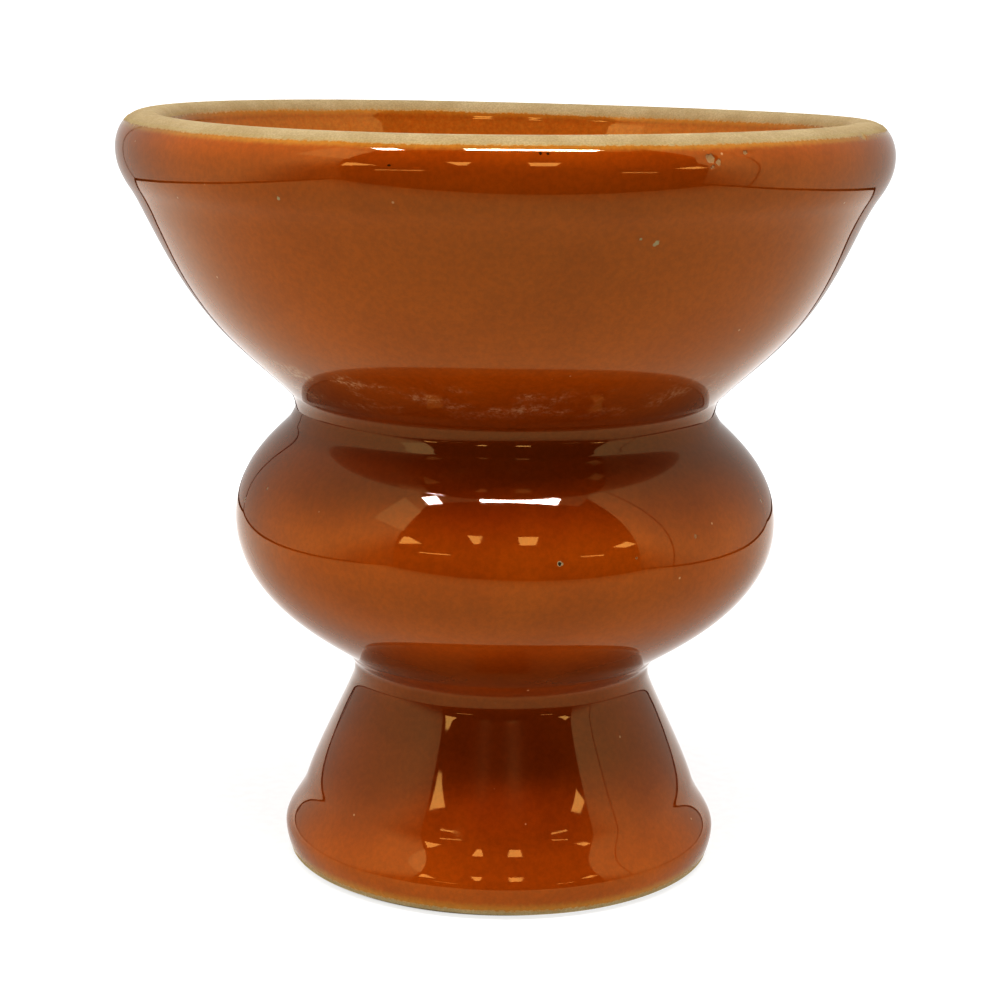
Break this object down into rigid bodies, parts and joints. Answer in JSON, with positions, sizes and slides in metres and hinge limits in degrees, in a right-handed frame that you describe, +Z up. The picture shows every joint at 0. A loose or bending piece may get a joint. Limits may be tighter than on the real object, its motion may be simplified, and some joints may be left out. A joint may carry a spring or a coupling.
{
  "type": "hookah bowl",
  "caption": "Amber-glazed stoneware hookah bowl: wide dish with a rolled bare rim and a pierced floor, over a hollow bulb and a flared foot socket.",
  "frame": {"origin": "centre of the foot's bottom edge, on the plane the bowl stands on", "axes": "+Z up along the bowl's axis, towards the open dish; the bowl is round, so +X and +Y run through opposite pairs of air holes and -Y faces the picture's camera"},
  "size_m": [0.08, 0.08, 0.0794],
  "materials": {
    "stoneware": "bare fired buff clay, matt and slightly gritty",
    "slip": "bare fired slip, matt",
    "amber_glaze": "glossy amber-brown glaze, darker where it pools"
  },
  "bodies": {
    "root": {"foot_body": "stoneware", "lower_waist_slip": "slip", "bulb_body": "stoneware", "upper_waist_slip": "slip", "dish_wall": "stoneware", "dish_floor": "stoneware", "outer_glaze": "amber_glaze", "inner_glaze": "amber_glaze"}
  },
  "joints": []
}
